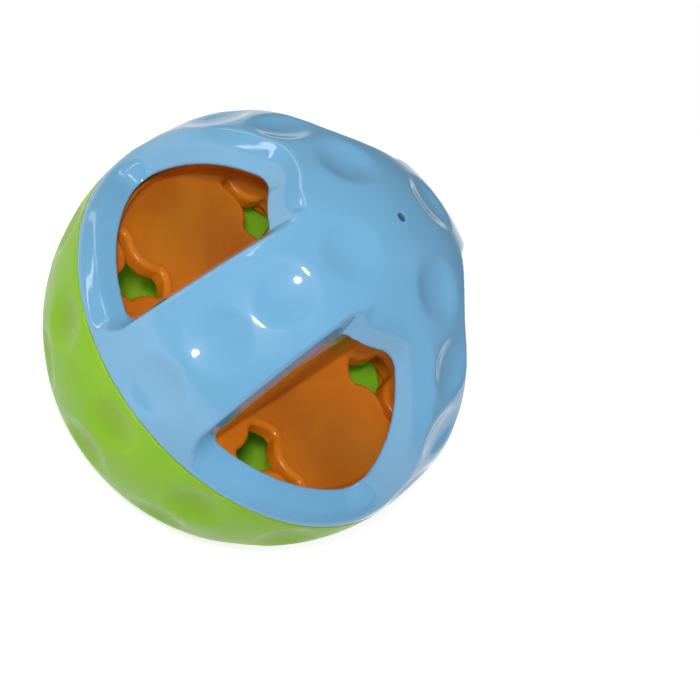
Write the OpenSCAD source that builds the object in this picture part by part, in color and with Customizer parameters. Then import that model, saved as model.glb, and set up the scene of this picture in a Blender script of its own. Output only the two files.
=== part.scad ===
/* [Ball] */
// Outside diameter of the closed ball
ball_d = 140; // [134:1:150]
// Wall of the two outer shells
wall = 3.6; // [3:0.1:4.2]
// Gap between the two rims when the ball is screwed shut
rim_gap = 0.2; // [0.1:0.05:0.4]
// Clearance between pieces that slide or turn in each other
fit_gap = 0.3; // [0.2:0.05:0.5]
// Mark left by the moulding gate on top, diameter
gate_d = 3; // [2:0.5:5]
// Depth of the gate mark
gate_depth = 0.8; // [0.4:0.1:1.2]

/* [Dimples] */
// Diameter of a dimple at the outer surface, as a share of the ball's
dimple_d_share = 0.14; // [0.12:0.005:0.155]
// Depth of a dimple below the ball's surface
dimple_depth = 2.3; // [1.4:0.1:2.4]
// Angle between neighbouring rows of dimples
dimple_step = 20; // [19:0.5:20]

/* [Windows] */
// Half width of the broad band at the parting plane, as a share of the ball's diameter
band_half_share = 0.1457; // [0.13:0.0001:0.157]
// Draft of the broad band's side walls, degrees
band_draft = 4; // [2:0.5:5]
// Half width of the narrow cross band at the outer surface, as a share of the ball's diameter
cross_half_share = 0.09; // [0.083:0.001:0.1]
// Radius of the closed crown around the pole, seen from above, as a share of the ball's diameter
crown_r_share = 0.2471; // [0.229:0.0001:0.264]
// Height of a window's lower rim above the parting plane
sill_z = 1.8; // [1.6:0.1:3]
// Depth of the window pockets down to the opening's edge, as a share of the ball's diameter
pocket_depth_share = 0.065; // [0.058:0.001:0.071]
// How far the pocket's cross wall leans in over its depth
cross_lean = 2.6; // [1:0.1:4]
// How far the pocket's crown wall leans in over its depth
crown_lean = 1.7; // [1:0.1:3]
// How far the pocket's sill rises over its depth
sill_rise = 3.6; // [2:0.1:4.5]
// Flare of the rim around each window
rim_flare = 1.2; // [0.8:0.1:1.6]
// Thickness of the pocket walls and of the band's ribs
pocket_wall = 2.4; // [2:0.1:3]

/* [Screw joint] */
// Depth of the upper half's spigot in the lower half
spigot_depth = 9; // [8:0.2:11]
// Wall of the spigot
spigot_wall = 2.3; // [2:0.1:2.6]
// Thickness of the plate that carries the spigot
plate_t = 2; // [1.8:0.1:2.2]
// Number of ramps on each half
ramps = 4; // [3:1:4]
// Rise of the ramps in one whole turn
lead = 20; // [20:1:24]
// Thickness of a ramp
ramp_t = 2; // [1.6:0.1:2.1]
// How far a ramp stands out
ramp_h = 1.7; // [1.2:0.1:2]
// Angle that one ramp spans
ramp_span = 50; // [30:5:60]

/* [Treat tray] */
// Thickness of the tray's floor and walls
tray_t = 2.2; // [1.8:0.1:2.6]
// Drop of the tray's floor below the parting plane
floor_drop = 0.5; // [0:0.1:1]
// Height of the tray's edge above the parting plane
edge_z = 4; // [3:0.1:4.6]
// Radius of the fillet between floor and edge
edge_fillet = 2.5; // [1.5:0.1:3]
// Thickness of the flange that lies under the spigot
flange_t = 1.8; // [1.4:0.1:2.4]
// Width of the flange beyond the tray's edge wall
flange_w = 2.3; // [1.8:0.1:2.4]
// Height of the ridge under the broad band, as a share of the ball's diameter
ridge_z_share = 0.2586; // [0.215:0.0001:0.271]
// Distance of a treat hole's middle from the ball's middle along the band, as a share of the ball's diameter
hole_x_share = 0.235; // [0.229:0.001:0.242]
// Distance of a treat hole's middle from the foot of the ridge, as a share of the ball's diameter
hole_y_share = 0.0886; // [0.086:0.0001:0.0925]
// Size that a treat hole's outline is drawn to, as a share of the ball's diameter
hole_span_share = 0.1429; // [0.13:0.0001:0.1455]
// Depth of a treat hole's collar, from the floor's top
collar_depth = 5.5; // [4.5:0.1:7]
// Rounding of a treat hole's upper edge
lip_r = 2.4; // [1.6:0.1:2.8]
// Wall of a treat hole's collar
collar_wall = 2; // [1.6:0.1:2.4]

/* [Hidden] */
$fn = 96;
ball_r = ball_d / 2;
over = wall;
dimple_d = dimple_d_share * ball_d;
band_foot = band_half_share * ball_d;
cross_half = cross_half_share * ball_d;
crown_r = crown_r_share * ball_d;
pocket_depth = pocket_depth_share * ball_d;
ridge_z = ridge_z_share * ball_d;
hole_x = hole_x_share * ball_d;
hole_y = hole_y_share * ball_d;
hole_span = hole_span_share * ball_d;
inner_r = ball_r - wall;
edge_r = ball_r - pocket_depth;
rim_z = rim_gap / 2;

// Dimple: a shallow cap cut by a larger sphere
dimple_r = dimple_d / 2;
cap_h = dimple_depth - (ball_r - sqrt(ball_r * ball_r - dimple_r * dimple_r));
dimple_sphere = (dimple_r * dimple_r + cap_h * cap_h) / (2 * cap_h);
dimple_seat = ball_r - dimple_depth + dimple_sphere;
top_columns = 4;
low_ring_counts = [12, 12, 8, 4];
low_ring_turns = [0, 0, 0.5, 0];

// Screw joint radii, from the spigot's bore outwards
bore_r = edge_r;
spigot_r = bore_r + spigot_wall;
ramp_r = spigot_r + ramp_h;
socket_r = ramp_r + fit_gap;
socket_ramp_r = spigot_r + fit_gap;
pitch = lead / ramps;
ramp_drop = ramp_t + fit_gap;
ramp_rise = lead * ramp_span / 360;
low_ramp_z = -spigot_depth + ramp_t / 2 + ramp_rise / 2 + fit_gap;
high_ramp_z = low_ramp_z + ramp_drop;
ledge_z = -spigot_depth - flange_t - 2 * rim_gap;

// Tray radii
tray_r = bore_r - fit_gap;
flange_r = tray_r + flange_w;
floor_z = -floor_drop;
floor_r = tray_r - tray_t;
ridge_sphere = edge_r - 3 * fit_gap;

// Smooth closed curve through the middles of a control polygon's sides
smooth_steps = 3;
function mid(p, q) = (p + q) / 2;
function bend(a, p, b, t) = (1 - t) * (1 - t) * a + 2 * t * (1 - t) * p + t * t * b;
function smooth(c, k = smooth_steps) = [
    for (i = [0:len(c) - 1])
        let (prev = c[(i + len(c) - 1) % len(c)], next = c[(i + 1) % len(c)])
            for (j = [0:k - 1]) bend(mid(prev, c[i]), c[i], mid(c[i], next), j / k)
];
function mean(c) = [for (v = c) 1] * c / len(c);
function unit(v) = v / norm(v);

// Solid between rings of equal length, closed by a fan to a tip at either end
module loft(rings, tip, tail) {
    n = len(rings[0]);
    m = len(rings);
    points = concat([for (r = rings) each r], [tip, tail]);
    walls = [
        for (k = [0:m - 2])
            for (i = [0:n - 1])
                let (a = k * n + i, b = k * n + (i + 1) % n)
                    each [[a, b, a + n], [b, b + n, a + n]]
    ];
    first = [for (i = [0:n - 1]) [n * m, (i + 1) % n, i]];
    last = [for (i = [0:n - 1]) [n * m + 1, (m - 1) * n + i, (m - 1) * n + (i + 1) % n]];
    polyhedron(points = points, faces = concat(walls, first, last));
}

// Window outline on a sphere: band side, sill, cross side, crown side
band_share = [0.13, 0.35, 0.65, 0.885];
sill_share = [0.115, 0.3, 0.6];
cross_share = [0.4, 0.62, 0.86];
crown_share = [0.36, 0.64];
function mix(a, b, t) = a + (b - a) * t;
function band_y(z, grow) = band_foot - tan(band_draft) * z - grow;
function band_point(r, z, grow) = [sqrt(r * r - z * z - pow(band_y(z, grow), 2)), band_y(z, grow), z];
function round_point(r, z, angle) = [sqrt(r * r - z * z) * cos(angle), sqrt(r * r - z * z) * sin(angle), z];
function angle_of(p) = atan2(p[1], p[0]);
function window(r, grow, cross, crown, sill) =
    let (
        top_z = sqrt(r * r - crown * crown),
        a = band_point(r, top_z, grow),
        b = band_point(r, sill, grow),
        q = sqrt(r * r - cross * cross),
        c = [cross, sqrt(q * q - sill * sill), sill],
        d = [cross, sqrt(q * q - top_z * top_z), top_z]
    )
    smooth(concat(
        [a],
        [for (t = band_share) band_point(r, r * cos(mix(acos(top_z / r), acos(sill / r), t)), grow)],
        [b],
        [for (t = sill_share) round_point(r, sill, mix(angle_of(b), angle_of(c), t))],
        [c],
        [for (t = cross_share)
            let (s = mix(asin(sill / q), asin(top_z / q), t)) [cross, q * cos(s), q * sin(s)]],
        [d],
        [for (t = crown_share) round_point(r, top_z, mix(angle_of(d), angle_of(a), t))]
    ));
function pocket_ring(k, wide, flare) =
    window(mix(edge_r, ball_r, k), wide + flare / 4, mix(cross_half + cross_lean, cross_half, k) - wide - flare,
        mix(crown_r + crown_lean, crown_r, k) - wide - flare,
        max(mix(sill_z + sill_rise, sill_z, k) - wide - flare, rim_z + rim_gap));
function ring_level(z) = (z - edge_r) / (ball_r - edge_r);

// Tips of the fans that close a window's solids: far ones stay outside the ball,
// near ones leave the pocket walls with a level end
far_tip = 2;
near_tip = 1.3;

module pocket_cut() {
    rings = [
        pocket_ring(ring_level(ball_r + rim_flare), 0, rim_flare),
        pocket_ring(ring_level(ball_r - rim_flare), 0, -rim_flare / 2),
        pocket_ring(0, 0, 0),
        pocket_ring(-1, 0, 0)
    ];
    loft(rings, far_tip * ball_r * unit(mean(rings[0])), mean(rings[len(rings) - 1]));
}

module pocket_block() {
    rings = [
        pocket_ring(ring_level(ball_r - wall / 2), pocket_wall, 0),
        pocket_ring(0, pocket_wall, 0)
    ];
    toward = unit(mean(rings[1]));
    loft(rings, near_tip * (ball_r - wall / 2) * toward, near_tip * edge_r * toward);
}

module four_ways() {
    for (side = [0, 1])
        mirror([0, side, 0])
            for (end = [0, 1])
                mirror([end, 0, 0])
                    children();
}

module above(z, h) {
    translate([-ball_d, -ball_d, z])
        cube([2 * ball_d, 2 * ball_d, h]);
}

// Ball whose seam runs clear of the dimples
module ball(r) {
    rotate([0, 0, 45])
        sphere(r = r);
}

module dimple(polar, turn) {
    rotate([0, polar, turn])
        translate([0, 0, dimple_seat])
            sphere(r = dimple_sphere);
}

// One ramp: a rib of square section that climbs with the turn
ramp_steps = 10;
module ramp(from_r, to_r, z) {
    rings = [
        for (i = [0:ramp_steps])
            let (turn = ramp_span * (i / ramp_steps - 1 / 2), rise = z + lead * turn / 360)
                [
                    [from_r * cos(turn), from_r * sin(turn), rise - ramp_t / 2],
                    [to_r * cos(turn), to_r * sin(turn), rise - ramp_t / 2],
                    [to_r * cos(turn), to_r * sin(turn), rise + ramp_t / 2],
                    [from_r * cos(turn), from_r * sin(turn), rise + ramp_t / 2]
                ]
    ];
    loft(rings, mean(rings[0]), mean(rings[ramp_steps]));
}

module ramp_set(from_r, to_r, z) {
    for (i = [0:ramps - 1])
        rotate([0, 0, 360 * (i + 1 / 2) / ramps])
            ramp(from_r, to_r, z);
}

// Slab that follows the drafted side of the broad band
module band_slab(out, t, z0, z1, length) {
    translate([-length / 2, 0, 0])
        rotate([90, 0, 90])
            linear_extrude(height = length)
                polygon([
                    [band_y(z0, out), z0],
                    [band_y(z1, out), z1],
                    [band_y(z1, out + t), z1],
                    [band_y(z0, out + t), z0]
                ]);
}

module windowed_half() {
    color("#86C0E6")
    difference() {
        union() {
            intersection() {
                difference() {
                    ball(ball_r);
                    ball(inner_r);
                }
                above(rim_z, ball_r + over);
            }
            intersection() {
                union() {
                    for (side = [0, 1])
                        mirror([0, side, 0])
                            band_slab(0, pocket_wall, ridge_z + rim_gap, ball_r, ball_d);
                }
                ball(ball_r - wall / 2);
                above(rim_z, ball_r);
            }
            intersection() {
                translate([0, 0, rim_z])
                    cylinder(r = ball_r, h = plate_t);
                ball(ball_r - wall / 2);
            }
            four_ways() pocket_block();
            translate([0, 0, -spigot_depth])
                cylinder(r = spigot_r, h = spigot_depth + sill_z + sill_rise / 2);
            ramp_set(spigot_r - spigot_wall / 2, ramp_r, low_ramp_z);
        }
        translate([0, 0, -spigot_depth - over])
            cylinder(r = bore_r, h = spigot_depth + sill_z + sill_rise + 2 * over);
        four_ways() pocket_cut();
        for (column = [0:top_columns - 1])
            for (row = [1:top_columns])
                dimple(row * dimple_step, 360 * column / top_columns);
        translate([0, 0, ball_r - gate_depth])
            cylinder(d = gate_d, h = over);
    }
}

module reservoir_half() {
    color("#8CC63A")
    difference() {
        union() {
            difference() {
                intersection() {
                    ball(ball_r);
                    above(-ball_r - over, ball_r + over - rim_z);
                }
                ball(inner_r);
            }
            difference() {
                intersection() {
                    ball(ball_r - wall / 2);
                    translate([0, 0, ledge_z - plate_t])
                        cylinder(r = ball_r, h = -ledge_z + plate_t - rim_z);
                }
                translate([0, 0, ledge_z - plate_t - over])
                    cylinder(r = bore_r, h = ball_r);
                translate([0, 0, ledge_z])
                    cylinder(r = socket_r, h = ball_r);
            }
            ramp_set(socket_ramp_r, socket_r + wall / 4, high_ramp_z);
        }
        for (row = [0:len(low_ring_counts) - 1])
            for (i = [0:low_ring_counts[row] - 1])
                dimple(90 + (row + 1 / 2) * dimple_step, 360 * (i + low_ring_turns[row]) / low_ring_counts[row]);
    }
}

// Treat hole: outline in shares of its span, round its own middle
star_share = [
    [-0.385, -0.015], [-0.245, 0.12], [-0.18, 0.35], [-0.225, 0.56], [-0.315, 0.73],
    [-0.225, 0.82], [-0.12, 0.785], [-0.115, 0.54], [-0.02, 0.33], [0.21, 0.215],
    [0.455, 0.21], [0.51, 0.015], [0.47, -0.23], [0.28, -0.225], [0.035, -0.285],
    [-0.14, -0.44], [-0.3, -0.37], [-0.47, -0.18], [-0.47, -0.055]
];
star = smooth(star_share * hole_span);
function grown(c, e) = [
    for (i = [0:len(c) - 1])
        let (d = unit(c[(i + 1) % len(c)] - c[(i + len(c) - 1) % len(c)]))
            c[i] + e * [-d[1], d[0]]
];
function lift(c, z) = [for (p = c) [p[0], p[1], z]];
lip_steps = 3;

module star_cut() {
    low = lift(star, floor_z - collar_depth - over);
    lip = [
        for (i = [lip_steps:-1:0])
            let (a = 90 * i / lip_steps)
                lift(grown(star, lip_r * (1 - sin(a))), floor_z - lip_r * (1 - cos(a)))
    ];
    high = lift(grown(star, lip_r), floor_z + over);
    loft(concat([low], lip, [high]), mean(low), mean(high));
}

module star_collar() {
    translate([0, 0, floor_z - collar_depth])
        linear_extrude(height = collar_depth)
            polygon(grown(star, collar_wall));
}

module at_holes() {
    four_ways()
        translate([hole_x, band_foot + hole_y, 0])
            children();
}

module ridge(inset, r, top) {
    intersection() {
        translate([-ball_r, 0, 0])
            rotate([90, 0, 90])
                linear_extrude(height = ball_d)
                    polygon([
                        [-band_y(floor_z - over, inset), floor_z - over],
                        [band_y(floor_z - over, inset), floor_z - over],
                        [band_y(top, inset), top],
                        [-band_y(top, inset), top]
                    ]);
        sphere(r = ridge_sphere - inset);
        translate([0, 0, floor_z - over])
            cylinder(r = r, h = ball_r);
    }
}

module treat_tray() {
    color("#D9781E")
    difference() {
        union() {
            rotate_extrude()
                polygon([
                    [0, floor_z - tray_t],
                    [floor_r, floor_z - tray_t],
                    [floor_r, -spigot_depth - rim_gap - flange_t],
                    [flange_r, -spigot_depth - rim_gap - flange_t],
                    [flange_r, -spigot_depth - rim_gap],
                    [tray_r, -spigot_depth - rim_gap],
                    [tray_r, edge_z],
                    [floor_r, edge_z],
                    [floor_r, floor_z + edge_fillet],
                    [floor_r - edge_fillet * (1 - cos(30)), floor_z + edge_fillet * (1 - sin(30))],
                    [floor_r - edge_fillet * (1 - cos(60)), floor_z + edge_fillet * (1 - sin(60))],
                    [floor_r - edge_fillet, floor_z],
                    [0, floor_z]
                ]);
            difference() {
                ridge(0, tray_r, ridge_z);
                above(floor_z - tray_t - ball_r, ball_r);
            }
            at_holes() star_collar();
        }
        ridge(tray_t, floor_r, ridge_z - tray_t);
        at_holes() star_cut();
    }
}

windowed_half();
treat_tray();
reservoir_half();
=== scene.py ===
"""Looks of the treat ball: three smooth mouldings, their plastics, a pale floor, lights and the camera.

Each moulding is a field of signed distances in millimetres, negative in the solid, with the sizes of
the part's source and with rounded edges. A mesh is drawn over its zero surface and put in metres.
"""

import math

import bpy
import numpy as np
from mathutils import Matrix, Vector


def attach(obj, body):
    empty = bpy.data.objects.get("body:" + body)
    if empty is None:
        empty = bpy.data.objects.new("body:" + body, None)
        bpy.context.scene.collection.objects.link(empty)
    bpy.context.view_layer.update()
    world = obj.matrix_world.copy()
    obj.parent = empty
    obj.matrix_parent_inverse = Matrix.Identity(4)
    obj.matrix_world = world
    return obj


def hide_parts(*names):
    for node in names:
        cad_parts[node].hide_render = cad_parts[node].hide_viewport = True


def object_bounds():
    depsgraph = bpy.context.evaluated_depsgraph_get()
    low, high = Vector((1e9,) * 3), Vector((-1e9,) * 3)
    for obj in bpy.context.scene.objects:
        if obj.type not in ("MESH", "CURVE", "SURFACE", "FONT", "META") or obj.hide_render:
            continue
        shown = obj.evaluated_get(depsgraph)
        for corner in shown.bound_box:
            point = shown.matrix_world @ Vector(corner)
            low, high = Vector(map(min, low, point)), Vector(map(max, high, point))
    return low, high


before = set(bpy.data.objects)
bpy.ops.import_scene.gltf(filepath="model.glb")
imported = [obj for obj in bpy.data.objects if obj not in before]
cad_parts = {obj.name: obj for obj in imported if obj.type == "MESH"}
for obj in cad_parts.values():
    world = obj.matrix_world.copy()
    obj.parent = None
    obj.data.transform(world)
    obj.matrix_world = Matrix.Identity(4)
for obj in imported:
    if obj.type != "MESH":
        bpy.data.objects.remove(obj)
cad_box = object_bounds()

# Millimetres to metres, and the ball's radius from the top of model.glb's bounds
MM = 0.001
BALL = round(cad_box[1][2] / MM, 1)

# Shell, its parting gap at each half and the play between pieces
WALL, PARTING, FIT = 3.6, 0.1, 0.3
INNER = BALL - WALL
RIM_ROUND = 0.5

# Dimples: a sphere's cap of this radius and depth, with a soft lip
DIMPLE_R, DIMPLE_DEPTH, DIMPLE_LIP, DIMPLE_STEP = 9.8, 2.3, 0.95, 20.0
DIMPLE_CAP = DIMPLE_DEPTH - (BALL - math.sqrt(BALL**2 - DIMPLE_R**2))
DIMPLE_SPHERE = (DIMPLE_R**2 + DIMPLE_CAP**2) / (2 * DIMPLE_CAP)
DIMPLE_SEAT = BALL - DIMPLE_DEPTH + DIMPLE_SPHERE

# What stands inside the shell ends this far out, under the deepest point of a dimple
HIDDEN_R = BALL - DIMPLE_DEPTH - 0.4

# Rings of dimples: angle from the upper pole, count, and their shift in steps round the ring
UPPER_RINGS = [(DIMPLE_STEP * i, 4, 0) for i in (1, 2, 3, 4)]
LOWER_RINGS = [(100, 12, 0), (120, 12, 0), (140, 8, 0.5), (160, 4, 0)]

# Windows: each side's place at the ball's surface, and how far it leans in over the pocket's depth
POCKET_DEPTH, POCKET_WALL, POCKET_ROUND = 9.1, 2.4, 0.8
EDGE = BALL - POCKET_DEPTH
CROSS, CROWN, SILL = (13.4, 3.2), (34.3, 1.2), (4.4, 3.6)
BAND_FOOT, BAND_LEAN, DRAFT_ANGLE = 20.4, 1.3, math.radians(4)
DRAFT, DRAFT_COS = math.tan(DRAFT_ANGLE), math.cos(DRAFT_ANGLE)

# Corners of a window, at the surface and at the pocket's inner edge
SILL_CORNER, CROWN_CORNER, SIDE_CORNER = (12.0, 6.0), (3.0, 1.4), (8.0, 3.5)

# Slanted land along a window's outer edge, and the stretch beside the band over which it ends
LAND, LAND_ROUND, LAND_END = 3.0, 0.9, (-5.0, -0.5)

# The pocket's walls where they stand inside the shell
BLOCK_FOOT, BLOCK_ROUND = 0.3, 1.0

# Gate mark on the pole, and the ring over which the shade painted into its pit fades
GATE_R, GATE_DEPTH, GATE_ROUND = 1.5, 0.8, 0.25
GATE_FADE, GATE_SHADE = (1.3, 1.9), 0.25

# Plate inside the upper half's rim, and the ribs beside the tray's ridge
PLATE_T, PLATE_ROUND = 2.0, 1.0
RIDGE_Z, RIB_LIFT, RIB_ROUND, RIB_FILLET = 36.2, 0.2, 0.7, 0.8

# Spigot of the upper half, with screw ramps on its outside
SPIGOT_DEPTH, SPIGOT_TOP, SPIGOT_ROUND = 9.0, 3.6, 0.4
BORE, BORE_TOP = EDGE, 5.0
SPIGOT, RAMP_R = EDGE + 2.3, EDGE + 4.0
LEAD, RAMP_T, RAMP_SPAN, RAMP_ROUND, RAMP_ROOT = 20.0, 2.0, 50.0, 0.4, 1.2
RAMP_COUNT = 4

# Socket and ledge of the lower half
SOCKET, SOCKET_RAMP, SOCKET_REACH = RAMP_R + FIT, SPIGOT + FIT, 0.9
LOW_RAMP = -SPIGOT_DEPTH + RAMP_T / 2 + LEAD * RAMP_SPAN / 720 + FIT
HIGH_RAMP = LOW_RAMP + RAMP_T + FIT
LEDGE_GAP, FLANGE_T = 0.2, 1.8
LEDGE = -SPIGOT_DEPTH - FLANGE_T - 2 * LEDGE_GAP
SEAT_ROUND, SEAT_FILLET, FINE_ROUND = 0.6, 0.5, 0.3

# Tray: floor, raised ring, flange and ridge
TRAY, TRAY_T, FLOOR, FLOOR_INSET, TRAY_EDGE = BORE - FIT, 2.2, -0.5, 0.5, 4.0
TRAY_ROUND, TRAY_FILLET = 1.05, 2.5
FLANGE, FLANGE_FILLET = TRAY + 2.3, 0.4
RIDGE_SPHERE, RIDGE_ROUND, RIDGE_END, RIDGE_FILLET = EDGE - 3 * FIT, 1.2, 0.8, 1.2
HOLLOW_ROUND, HOLLOW_END, HOLLOW_EDGE = 1.0, 0.6, 0.4

# Treat holes: a star with collar and lip. Its corners are shares of the span, and arcs round them
HOLE_X, HOLE_Y, HOLE_SPAN = 32.9, BAND_FOOT + 12.4, 20.0
COLLAR, COLLAR_T, COLLAR_FILLET = 5.5, 2.0, 0.6
LIP, LIP_FOOT, LIP_RISE = 2.4, 0.5, (-4.6, -3.0)
STAR_SHARES = np.array([
    [-0.385, -0.015], [-0.245, 0.12], [-0.18, 0.35], [-0.225, 0.56], [-0.315, 0.73],
    [-0.225, 0.82], [-0.12, 0.785], [-0.115, 0.54], [-0.02, 0.33], [0.21, 0.215],
    [0.455, 0.21], [0.51, 0.015], [0.47, -0.23], [0.28, -0.225], [0.035, -0.285],
    [-0.14, -0.44], [-0.3, -0.37], [-0.47, -0.18], [-0.47, -0.055],
])
STAR_ARC_STEPS, STAR_REACH, STAR_CELL, LEVEL_LINE = 14, 20.0, 0.25, 1e-9


# Ways to put fields together
def cut(a, b, r):
    """Where both fields are solid, with the edge between them rounded to r."""
    u = np.maximum(a + r, 0)
    v = np.maximum(b + r, 0)
    return np.minimum(-r, np.maximum(a, b)) + np.sqrt(u * u + v * v)


def join(a, b, r):
    """Where either field is solid, with the corner between them filled to r."""
    return -cut(-a, -b, r)


def soft_cut(a, b, k):
    """Where both fields are solid, with a lip about k wide between them."""
    h = np.maximum(k - np.abs(a - b), 0) / k
    return np.maximum(a, b) + h * h * k / 4


def ease(x, lo, hi):
    """Goes smoothly from 0 at lo to 1 at hi."""
    t = np.clip((x - lo) / (hi - lo), 0, 1)
    return t * t * (3 - 2 * t)


def between(pair, t):
    """Goes from the pair's first value to its second as t goes from 0 to 1."""
    return pair[0] + (pair[1] - pair[0]) * t


# Shapes that several pieces share
def dimpled(p, rings):
    """The dimpled outside of the ball, and the distance of each point from its middle."""
    r = np.sqrt((p * p).sum(1))
    quarter = np.column_stack((np.abs(p[:, :2]), p[:, 2]))
    near = np.full(len(p), np.inf, np.float32)
    for polar, count, shift in rings:
        turns = [360 / count * (k + shift) for k in range(count)]
        for turn in [t for t in turns if t <= 90]:
            a, b = math.radians(polar), math.radians(turn)
            out = [math.sin(a) * math.cos(b), math.sin(a) * math.sin(b), math.cos(a)]
            off = quarter - np.array(out, np.float32) * DIMPLE_SEAT
            near = np.minimum(near, np.sqrt((off * off).sum(1)) - DIMPLE_SPHERE)
    return soft_cut(r - BALL, -near, DIMPLE_LIP), r


def ramps(p, rho, r0, r1, z0):
    """Screw ramps between the radii r0 and r1, whose middles pass through the height z0."""
    step = 360 / RAMP_COUNT
    turn = np.degrees(np.arctan2(p[:, 1], p[:, 0]))
    turn = (turn % step) - step / 2
    side = np.abs(p[:, 2] - (z0 + LEAD * turn / 360)) - RAMP_T / 2
    end = (np.abs(turn) - RAMP_SPAN / 2) * math.pi / 180 * rho
    return cut(cut(side, end, RAMP_ROUND), np.maximum(rho - r1, r0 - rho), RAMP_ROUND)


def band_side(ay, z, deep):
    """Negative beyond the band's drafted side, positive under the band."""
    return (BAND_FOOT + BAND_LEAN * deep - DRAFT * z - ay) * DRAFT_COS


# Upper half
def pocket(ax, ay, z, r, rho):
    """Negative in the opening of a window, whose sides are band, crown, sill and cross, and the width
    of the slanted land along its outer edge, which the crisp band side lacks."""
    k = (BALL - r) / POCKET_DEPTH
    deep = np.clip(k, 0, 1)
    band = band_side(ay, z, deep)
    cross = CROSS[0] + CROSS[1] * k - ax
    crown = CROWN[0] + CROWN[1] * k - rho
    sill = SILL[0] + SILL[1] * k - z
    low = cut(sill, cross, between(SILL_CORNER, deep))
    high = cut(band, crown, between(CROWN_CORNER, deep))
    crisp = ease(band - np.maximum(np.maximum(cross, crown), sill), *LAND_END)
    return cut(low, high, between(SIDE_CORNER, deep)), LAND * (1 - crisp)


def blue_field(p):
    """The windowed half."""
    ax, ay, z = np.abs(p[:, 0]), np.abs(p[:, 1]), p[:, 2]
    rho = np.hypot(ax, ay)
    outer, r = dimpled(p, UPPER_RINGS)
    gate = np.maximum(rho - GATE_R, BALL - GATE_DEPTH - z)
    outer = cut(outer, -gate, GATE_ROUND)
    # shell with the plate inside its rim
    shell = np.maximum(outer, -cut(r - INNER, PARTING + PLATE_T - z, PLATE_ROUND))
    shell = cut(shell, PARTING - z, RIM_ROUND)
    # ribs
    side = band_side(ay, z, 1.0)
    rib = cut(np.maximum(-side, side - POCKET_WALL), RIDGE_Z + RIB_LIFT - z, RIB_ROUND)
    shell = join(shell, np.maximum(rib, r - HIDDEN_R), RIB_FILLET)
    # walls of the windows
    w, land = pocket(ax, ay, z, r, rho)
    block = np.maximum(cut(w - POCKET_WALL, EDGE - r, BLOCK_ROUND), r - HIDDEN_R)
    shell = join(shell, np.maximum(block, BLOCK_FOOT - z), BLOCK_ROUND)
    # spigot with its ramps and bore
    spigot = np.maximum(cut(rho - SPIGOT, -SPIGOT_DEPTH - z, SPIGOT_ROUND), z - SPIGOT_TOP)
    shell = np.minimum(shell, spigot)
    shell = np.minimum(shell, ramps(p, rho, SPIGOT - RAMP_ROOT, RAMP_R, LOW_RAMP))
    shell = cut(shell, -np.maximum(rho - BORE, z - BORE_TOP), FINE_ROUND)
    # openings, then the land at 45 degrees between surface and wall
    shell = cut(shell, -w, POCKET_ROUND)
    return cut(shell, (r - BALL - w + land) * math.sqrt(0.5), LAND_ROUND)


# Lower half
def green_field(p):
    """The lower half."""
    z = p[:, 2]
    rho = np.hypot(p[:, 0], p[:, 1])
    outer, r = dimpled(p, LOWER_RINGS)
    shell = cut(np.maximum(outer, INNER - r), z + PARTING, RIM_ROUND)
    # thicker rim with the ledge, and the socket in it
    seat = np.maximum(cut(BORE - rho, LEDGE - PLATE_T - z, SEAT_ROUND), z + PARTING)
    seat = np.maximum(seat, r - HIDDEN_R)
    seat = cut(seat, -np.maximum(rho - SOCKET, LEDGE - z), FINE_ROUND)
    body = join(shell, seat, SEAT_FILLET)
    body = cut(body, z + PARTING, FINE_ROUND)
    screw = ramps(p, rho, SOCKET_RAMP, SOCKET + SOCKET_REACH, HIGH_RAMP)
    return np.minimum(body, np.maximum(screw, r - HIDDEN_R))


# Tray
def star_grid():
    """Distances from the star's outline, negative inside, on a square grid."""
    n = len(STAR_SHARES)
    corner = STAR_SHARES * HOLE_SPAN
    mid = (corner + np.roll(corner, 1, 0)) / 2
    t = (np.arange(STAR_ARC_STEPS) / STAR_ARC_STEPS)[:, None]
    line = np.concatenate([
        (1 - t) ** 2 * mid[i] + 2 * t * (1 - t) * corner[i] + t * t * mid[(i + 1) % n]
        for i in range(n)
    ])
    g = np.arange(-STAR_REACH, STAR_REACH + STAR_CELL / 2, STAR_CELL)
    x, y = np.meshgrid(g, g, indexing="ij")
    best = np.full(x.shape, np.inf)
    inside = np.zeros(x.shape, bool)
    for a, b in zip(line, np.roll(line, -1, 0)):
        e = b - a
        h = np.clip(((x - a[0]) * e[0] + (y - a[1]) * e[1]) / (e @ e), 0, 1)
        best = np.minimum(best, np.hypot(x - a[0] - h * e[0], y - a[1] - h * e[1]))
        if abs(e[1]) > LEVEL_LINE:
            over = (a[1] > y) != (b[1] > y)
            inside ^= over & (x < a[0] + (y - a[1]) * e[0] / e[1])
    return np.where(inside, -best, best).astype(np.float32)


STAR_MAP = star_grid()


def star(x, y):
    """Distance from the star's outline, read between the points of its grid."""
    last = STAR_MAP.shape[0] - 1.001
    u = np.clip((x + STAR_REACH) / STAR_CELL, 0, last)
    v = np.clip((y + STAR_REACH) / STAR_CELL, 0, last)
    i, j = u.astype(int), v.astype(int)
    s, t = u - i, v - j
    near = (1 - s) * STAR_MAP[i, j] + s * STAR_MAP[i + 1, j]
    far = (1 - s) * STAR_MAP[i, j + 1] + s * STAR_MAP[i + 1, j + 1]
    return (1 - t) * near + t * far


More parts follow.
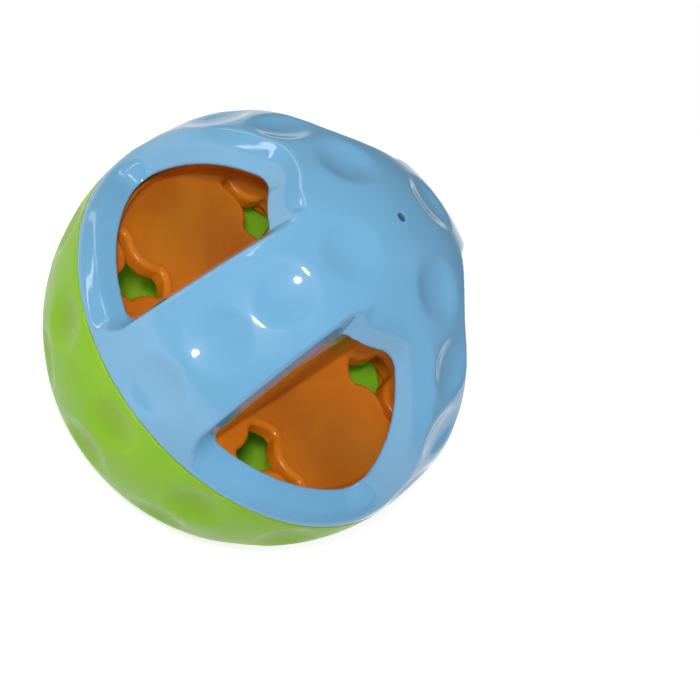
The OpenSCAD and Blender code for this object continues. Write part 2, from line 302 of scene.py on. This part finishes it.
def orange_field(p):
    """The tray."""
    ax, ay, z = np.abs(p[:, 0]), np.abs(p[:, 1]), p[:, 2]
    rho = np.hypot(ax, ay)
    r = np.sqrt(rho * rho + z * z)
    foot = LEDGE + LEDGE_GAP
    # floor, raised ring and flange
    floor = np.maximum(np.maximum(z - FLOOR, FLOOR - TRAY_T - z), rho - TRAY + FLOOR_INSET)
    ring = cut(np.maximum(rho - TRAY, TRAY - TRAY_T - rho), z - TRAY_EDGE, TRAY_ROUND)
    body = join(floor, cut(ring, foot - z, FINE_ROUND), TRAY_FILLET)
    flange = cut(cut(rho - FLANGE, z + SPIGOT_DEPTH + LEDGE_GAP, FINE_ROUND), foot - z, FINE_ROUND)
    body = join(body, np.maximum(flange, TRAY - TRAY_T - rho), FLANGE_FILLET)
    # ridge, drafted as the band is, and the hollow in it
    side = -band_side(ay, z, 1.0)
    ends = cut(r - RIDGE_SPHERE, rho - TRAY, RIDGE_END)
    ridge = cut(cut(side, z - RIDGE_Z, RIDGE_ROUND), ends, RIDGE_END)
    body = join(body, np.maximum(ridge, FLOOR - TRAY_T - z), RIDGE_FILLET)
    ends = cut(r - RIDGE_SPHERE + TRAY_T, rho - TRAY + TRAY_T, HOLLOW_END)
    hollow = cut(cut(side + TRAY_T, z - RIDGE_Z + TRAY_T, HOLLOW_ROUND), ends, HOLLOW_END)
    body = cut(body, -hollow, HOLLOW_EDGE)
    # treat holes
    s = star(ax - HOLE_X, ay - HOLE_Y)
    collar = np.maximum(np.maximum(s - COLLAR_T, z - FLOOR), FLOOR - COLLAR - z)
    body = join(body, collar, COLLAR_FILLET)
    lip = between((LIP_FOOT, LIP), ease(z - FLOOR, *LIP_RISE))
    return cut(body, -s, lip)


# Mesh over a field's zero surface. The grid is worked out in chunks of this many cells a side, some
# at a time, and a chunk far from the surface gets a plain value
CHUNK, BATCH, FAR_VALUE, UNSET = 12, 60, 40.0, 50.0
REACH_SHARE, REACH_MORE = 1.25, 0.5
# How far apart the slope is probed, and the rounds, longest step in cells and least slope in settling
PROBE, SETTLE_ROUNDS, SETTLE_STEP, LEAST_SLOPE = 0.02, 4, 0.35, 0.3


def sampled(field, lo, cell, count):
    """The field on a grid, worked out only in the chunks that the surface may pass through."""
    grid = np.full(count * CHUNK + 1, UNSET, np.float32)
    chunks = np.stack(np.meshgrid(*[np.arange(c) for c in count], indexing="ij"), -1).reshape(-1, 3)
    value = field((lo + (chunks + 0.5) * CHUNK * cell).astype(np.float32))
    half_diagonal = CHUNK * cell * math.sqrt(3) / 2
    live = np.abs(value) <= half_diagonal * REACH_SHARE + REACH_MORE
    for corner, v in zip(chunks[~live] * CHUNK, value[~live]):
        part = grid[tuple(slice(c, c + CHUNK + 1) for c in corner)]
        part[part == UNSET] = FAR_VALUE if v > 0 else -FAR_VALUE
    steps = np.stack(np.meshgrid(*[np.arange(CHUNK + 1)] * 3, indexing="ij"), -1).reshape(-1, 3)
    corners = chunks[live] * CHUNK
    for start in range(0, len(corners), BATCH):
        at = (corners[start:start + BATCH, None, :] + steps[None]).reshape(-1, 3)
        grid[at[:, 0], at[:, 1], at[:, 2]] = field((lo + at * cell).astype(np.float32))
    return grid


def pairs(grid, axis):
    """Each grid value and its neighbour along the axis."""
    first, second = [slice(None)] * 3, [slice(None)] * 3
    first[axis], second[axis] = slice(None, -1), slice(1, None)
    return grid[tuple(first)], grid[tuple(second)]


def cell_points(grid):
    """One point for each cell that the surface passes through: the mean of its edges' crossings."""
    size = np.array(grid.shape)
    total = np.zeros([*(size - 1), 3], np.float32)
    hits = np.zeros(size - 1, np.float32)
    for axis in range(3):
        va, vb = pairs(grid, axis)
        x = np.argwhere((va < 0) != (vb < 0))
        fa, fb = va[tuple(x.T)], vb[tuple(x.T)]
        at = x.astype(np.float32)
        at[:, axis] += fa / (fa - fb)
        u, v = [other for other in range(3) if other != axis]
        for du in (0, -1):
            for dv in (0, -1):
                y = x.copy()
                y[:, u] += du
                y[:, v] += dv
                good = ((y >= 0) & (y < size - 1)).all(1)
                i, j, k = y[good].T
                np.add.at(total, (i, j, k), at[good])
                np.add.at(hits, (i, j, k), 1)
    cells = np.argwhere(hits > 0)
    return cells, total[tuple(cells.T)] / hits[tuple(cells.T)][:, None]


def cell_quads(grid, cells):
    """One face for each grid edge that the surface crosses, between the four cells round it."""
    number = np.full(np.array(grid.shape) - 1, -1, int)
    number[tuple(cells.T)] = np.arange(len(cells))
    quads = []
    for axis in range(3):
        ia, ib = pairs(grid < 0, axis)
        u, v = (axis + 1) % 3, (axis + 2) % 3
        for flip, mask in ((False, ia & ~ib), (True, ~ia & ib)):
            x = np.argwhere(mask)
            corners = []
            for du, dv in ((-1, -1), (0, -1), (0, 0), (-1, 0)):
                y = x.copy()
                y[:, u] += du
                y[:, v] += dv
                corners.append(number[tuple(y.T)])
            q = np.stack(corners, 1)
            quads.append(q[:, ::-1] if flip else q)
    return np.concatenate(quads)


def settled(field, points, cell):
    """The points after a few short steps along the slope, onto the surface."""
    probes = np.eye(3) * PROBE
    for _ in range(SETTLE_ROUNDS):
        d = field(points.astype(np.float32))
        slope = np.stack([
            field((points + e).astype(np.float32)) - field((points - e).astype(np.float32))
            for e in probes
        ], 1) / (2 * PROBE)
        step = slope * (d / np.maximum((slope * slope).sum(1), LEAST_SLOPE))[:, None]
        length = np.linalg.norm(step, axis=1)
        points = points - step * np.minimum(1, SETTLE_STEP * cell / np.maximum(length, 1e-6))[:, None]
    return points


def surface(name, field, lo, hi, cell):
    """A smooth mesh object over the field's zero surface between two corners."""
    lo = np.array(lo, np.float32)
    count = np.ceil((np.array(hi) - lo) / cell / CHUNK).astype(int)
    grid = sampled(field, lo, cell, count)
    cells, points = cell_points(grid)
    quads = cell_quads(grid, cells)
    points = settled(field, lo + points * cell, cell)
    mesh = bpy.data.meshes.new(name)
    mesh.vertices.add(len(points))
    mesh.vertices.foreach_set("co", (points * MM).astype(np.float32).ravel())
    mesh.loops.add(len(quads) * 4)
    mesh.loops.foreach_set("vertex_index", quads.astype(np.int32).ravel())
    mesh.polygons.add(len(quads))
    mesh.polygons.foreach_set("loop_start", np.arange(0, len(quads) * 4, 4, dtype=np.int32))
    mesh.polygons.foreach_set("loop_total", np.full(len(quads), 4, np.int32))
    mesh.update(calc_edges=True)
    mesh.validate()
    mesh.shade_smooth()
    obj = bpy.data.objects.new(name, mesh)
    bpy.context.scene.collection.objects.link(obj)
    return obj


# Pieces, each in a box a little larger than itself
CELL = 0.55
WIDE, TRAY_WIDE = BALL + 1.0, 64.0
UPPER_LOW, TRAY_LOW, TRAY_HIGH, LOWER_HIGH = -10.5, -12.5, 38.0, 0.8
blue = surface("upper_moulding", blue_field, (-WIDE, -WIDE, UPPER_LOW), (WIDE, WIDE, WIDE), CELL)
orange = surface(
    "tray_moulding", orange_field,
    (-TRAY_WIDE, -TRAY_WIDE, TRAY_LOW), (TRAY_WIDE, TRAY_WIDE, TRAY_HIGH), CELL,
)
green = surface("lower_moulding", green_field, (-WIDE, -WIDE, -WIDE), (WIDE, WIDE, LOWER_HIGH), CELL)
for piece, body, node, slot in (
    (blue, "upper", "windowed_half", "blue_plastic"),
    (orange, "tray", "treat_tray", "orange_plastic"),
    (green, "lower", "reservoir_half", "green_plastic"),
):
    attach(piece, body)
    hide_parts(node)


# Materials
class Nodes:
    """The emptied node tree of a material or world."""

    def __init__(self, owner):
        owner.use_nodes = True
        self.tree = owner.node_tree
        self.tree.nodes.clear()

    def add(self, kind, settings=None, **inputs):
        """A node with its settings, and with inputs named as in Blender but with _ for a space."""
        node = self.tree.nodes.new("ShaderNode" + kind)
        for name, value in (settings or {}).items():
            setattr(node, name, value)
        for name, value in inputs.items():
            self.put(node.inputs[name.replace("_", " ")], value)
        return node

    def put(self, socket, value):
        """Links the socket to another socket, or sets its own value."""
        if isinstance(value, bpy.types.NodeSocket):
            self.tree.links.new(value, socket)
        else:
            socket.default_value = value

    def math(self, operation, *values):
        """The outcome of a Math node, each of whose inputs is a socket or a number."""
        node = self.add("Math", {"operation": operation})
        for socket, value in zip(node.inputs, values):
            self.put(socket, value)
        return node.outputs[0]


def linear(rgb):
    """Screen colour, 0 to 255, as a linear one."""
    return [((c / 255 + 0.055) / 1.055) ** 2.4 if c > 10 else c / 255 / 12.92 for c in rgb] + [1.0]


def gate_painted_shade(nodes, point, colour):
    """The colour with shade painted in: darker inside the gate mark's pit on the pole."""
    middle = (0, 0, (BALL - GATE_DEPTH) * MM)
    away = nodes.add("VectorMath", {"operation": "DISTANCE"})
    nodes.put(away.inputs[0], point)
    nodes.put(away.inputs[1], middle)
    shade = nodes.add(
        "MapRange", {"interpolation_type": "SMOOTHSTEP"}, Value=away.outputs["Value"],
        From_Min=GATE_FADE[0] * MM, From_Max=GATE_FADE[1] * MM, To_Min=GATE_SHADE, To_Max=1.0,
    )
    scaled = nodes.add("VectorMath", {"operation": "SCALE"}, Scale=shade.outputs["Result"])
    nodes.put(scaled.inputs[0], colour)
    return scaled.outputs["Vector"]


def plastic(name, low, high, rough, soft, bump, grain, level, coat, gate=False):
    """Moulded plastic: a colour that drifts between low and high over some centimetres, gloss that
    handling has worn unevenly, long soft waves of shrinkage and a fine grain."""
    m = bpy.data.materials.new(name)
    nodes = Nodes(m)
    point = nodes.add("TexCoord").outputs["Object"]
    drift = nodes.add("TexNoise", Vector=point, Scale=22, Detail=3, Distortion=1.2)
    ramp = nodes.add("ValToRGB", Fac=drift.outputs["Fac"])
    for element, place, colour in zip(ramp.color_ramp.elements, (0.3, 0.72), (low, high)):
        element.position = place
        element.color = linear(colour)
    colour = ramp.outputs["Color"]
    # Painted shade: the colour is darkened inside the gate mark's pit
    if gate:
        colour = gate_painted_shade(nodes, point, colour)
    wear = nodes.add("TexNoise", Vector=point, Scale=48, Detail=6, Roughness=0.6)
    gloss = nodes.add(
        "MapRange", Value=wear.outputs["Fac"],
        From_Min=0.3, From_Max=0.75, To_Min=rough[0], To_Max=rough[1],
    )
    wave = nodes.add("TexNoise", Vector=point, Scale=95, Detail=2)
    fine = nodes.add("TexNoise", Vector=point, Scale=grain, Detail=3)
    waves = nodes.add("Bump", Strength=bump[0], Distance=0.6 * MM, Height=wave.outputs["Fac"])
    skin = nodes.add(
        "Bump", Strength=bump[1], Distance=0.12 * MM, Height=fine.outputs["Fac"],
        Normal=waves.outputs["Normal"],
    )
    bsdf = nodes.add(
        "BsdfPrincipled", Base_Color=colour, Roughness=gloss.outputs["Result"],
        Normal=skin.outputs["Normal"], IOR=1.45, Specular_IOR_Level=level, Coat_Weight=coat,
        Coat_Roughness=0.4, Subsurface_Weight=soft[0], Subsurface_Radius=(1, 1, 0.6),
        Subsurface_Scale=soft[1],
    )
    nodes.add("OutputMaterial", Surface=bsdf.outputs["BSDF"])
    return m


# The blue half's colour has shade painted into the gate mark's pit
blue.data.materials.append(plastic(
    "blue_plastic", (118, 180, 222), (124, 186, 228), rough=(0.05, 0.09), soft=(0.06, 2 * MM),
    bump=(0.1, 0.06), grain=1400, level=0.6, coat=0.2, gate=True,
))
orange.data.materials.append(plastic(
    "orange_plastic", (214, 112, 18), (232, 142, 28), rough=(0.25, 0.36), soft=(0.05, 2 * MM),
    bump=(0.12, 0.25), grain=1100, level=0.5, coat=0.0,
))
green.data.materials.append(plastic(
    "green_plastic", (150, 210, 48), (157, 216, 56), rough=(0.26, 0.38), soft=(0.9, 10 * MM),
    bump=(0.12, 0.2), grain=1200, level=0.15, coat=0.0,
))


# Floor and world, white for the camera and paler grey far off in reflections
FLOOR_SPAN, FLOOR_GREY = 8, 0.6
FADE_FROM, FADE_TO = 0.42, 1.3


def by_ray(nodes, far, camera, mirror, rest):
    """A strength for camera rays, one for glossy and transmission rays and one for all others. Each
    goes from its first value to its second as far goes from 0 to 1."""
    path = nodes.add("LightPath").outputs
    seen = path["Is Camera Ray"]
    bounced = nodes.math("MAXIMUM", path["Is Glossy Ray"], path["Is Transmission Ray"])
    others = nodes.math("SUBTRACT", 1.0, nodes.math("MAXIMUM", seen, bounced))
    total = 0.0
    for share, (first, second) in ((seen, camera), (bounced, mirror), (others, rest)):
        strength = nodes.math("MULTIPLY_ADD", far, second - first, first)
        total = nodes.math("MULTIPLY_ADD", share, strength, total)
    return total


bpy.ops.mesh.primitive_plane_add(size=FLOOR_SPAN, location=(0, 0, -BALL * MM))
floor = bpy.context.object
floor.name = "floor"
white = bpy.data.materials.new("floor_white")
nodes = Nodes(white)
off = nodes.add("VectorMath", {"operation": "LENGTH"})
nodes.put(off.inputs[0], nodes.add("NewGeometry").outputs["Position"])
far = nodes.add(
    "MapRange", {"interpolation_type": "SMOOTHSTEP"}, Value=off.outputs["Value"],
    From_Min=FADE_FROM, From_Max=FADE_TO,
).outputs["Result"]
glow = nodes.add("Emission", Strength=by_ray(nodes, far, (0.72, 1.0), (0.72, 0.14), (0, 0)))
plain = nodes.add("BsdfDiffuse", Color=(FLOOR_GREY, FLOOR_GREY, FLOOR_GREY, 1))
both = nodes.add("AddShader")
nodes.put(both.inputs[0], plain.outputs[0])
nodes.put(both.inputs[1], glow.outputs[0])
nodes.add("OutputMaterial", Surface=both.outputs[0])
floor.data.materials.append(white)

world = bpy.data.worlds.new("studio")
bpy.context.scene.world = world
nodes = Nodes(world)
sky = nodes.add(
    "Background", Color=(1, 1, 1, 1),
    Strength=by_ray(nodes, 0.0, (1.0, 1.0), (0.12, 0.12), (0.14, 0.14)),
)
nodes.add("OutputWorld", Surface=sky.outputs[0])

# Camera in the photograph's place: its angles round the ball, and its distance in radii of the ball
AZIMUTH, ELEVATION, ROLL = math.radians(4.5285), math.radians(40.5763), math.radians(51.8285)
DISTANCE = 8.8438
# The photograph's width, its focal length and the ball's middle, in pixels
PHOTO_PX, FOCAL_PX, MIDDLE_PX = 700, 1926.0, (261.74, 327.02)
SENSOR = 36

BACK = Vector((
    math.cos(ELEVATION) * math.cos(AZIMUTH), math.cos(ELEVATION) * math.sin(AZIMUTH), math.sin(ELEVATION),
))
level = Vector((-math.sin(AZIMUTH), math.cos(AZIMUTH), 0))
rise = BACK.cross(level)
RIGHT = level * math.cos(ROLL) + rise * math.sin(ROLL)
UP = rise * math.cos(ROLL) - level * math.sin(ROLL)


def placed(obj, where, right, up, back):
    """Puts an object at a place, looking away from back."""
    bpy.context.scene.collection.objects.link(obj)
    obj.matrix_world = Matrix.Translation(where) @ Matrix((right, up, back)).transposed().to_4x4()
    return obj


cam_data = bpy.data.cameras.new("camera")
cam_data.sensor_fit = "HORIZONTAL"
cam_data.sensor_width = SENSOR
cam_data.lens = FOCAL_PX / PHOTO_PX * SENSOR
cam_data.shift_x = (PHOTO_PX / 2 - MIDDLE_PX[0]) / PHOTO_PX
cam_data.shift_y = (MIDDLE_PX[1] - PHOTO_PX / 2) / PHOTO_PX
cam_data.clip_start = 0.01
cam = bpy.data.objects.new("camera", cam_data)
bpy.context.scene.camera = placed(cam, BACK * DISTANCE * BALL * MM, RIGHT, UP, BACK)

# Lights
WARM = (1, 0.95, 0.84)


def lamp(name, place, size, power, along=None, tint=(1, 1, 1)):
    """A lamp at a place right, up and back of the ball's middle, in metres, that faces the ball. Its
    first side lies level in the picture, or along a given direction in the same axes."""
    data = bpy.data.lights.new(name, "AREA")
    data.shape = "RECTANGLE"
    data.size, data.size_y = size
    data.energy = power
    data.color = tint
    axes = Matrix((RIGHT, UP, BACK)).transposed()
    where = axes @ Vector(place)
    away = where.normalized()
    side = axes @ Vector(along) if along else UP.cross(away)
    side = (side - away * side.dot(away)).normalized()
    return placed(bpy.data.objects.new(name, data), where, side, away.cross(side), away)


lamp("flash", (-0.008, 0.056, 0.8), (0.056, 0.04), 3.4)
lamp("front_wall", (0.15, 0.05, 1.0), (0.9, 0.6), 0.5)
lamp("window", (-0.6, 0.72, 0.5), (0.8, 0.09), 1.5, along=(0.5, 0.33, -0.14), tint=WARM)
lamp("tube_left", (-0.1, 0.7, 0.75), (0.08, 0.3), 0.5, tint=WARM)
lamp("tube_top", (-0.28, 0.93, 0.2), (0.8, 0.08), 0.6, tint=WARM)
# Fills light the shaded sides, and show no bright pane in the gloss
for fill in (
    lamp("side_right", (0.9, 0.1, 0.35), (0.8, 0.9), 2.6),
    lamp("low", (0.1, -0.8, 0.6), (0.9, 0.5), 0.2),
):
    fill.visible_glossy = False

scene = bpy.context.scene
scene.view_settings.view_transform = "Standard"
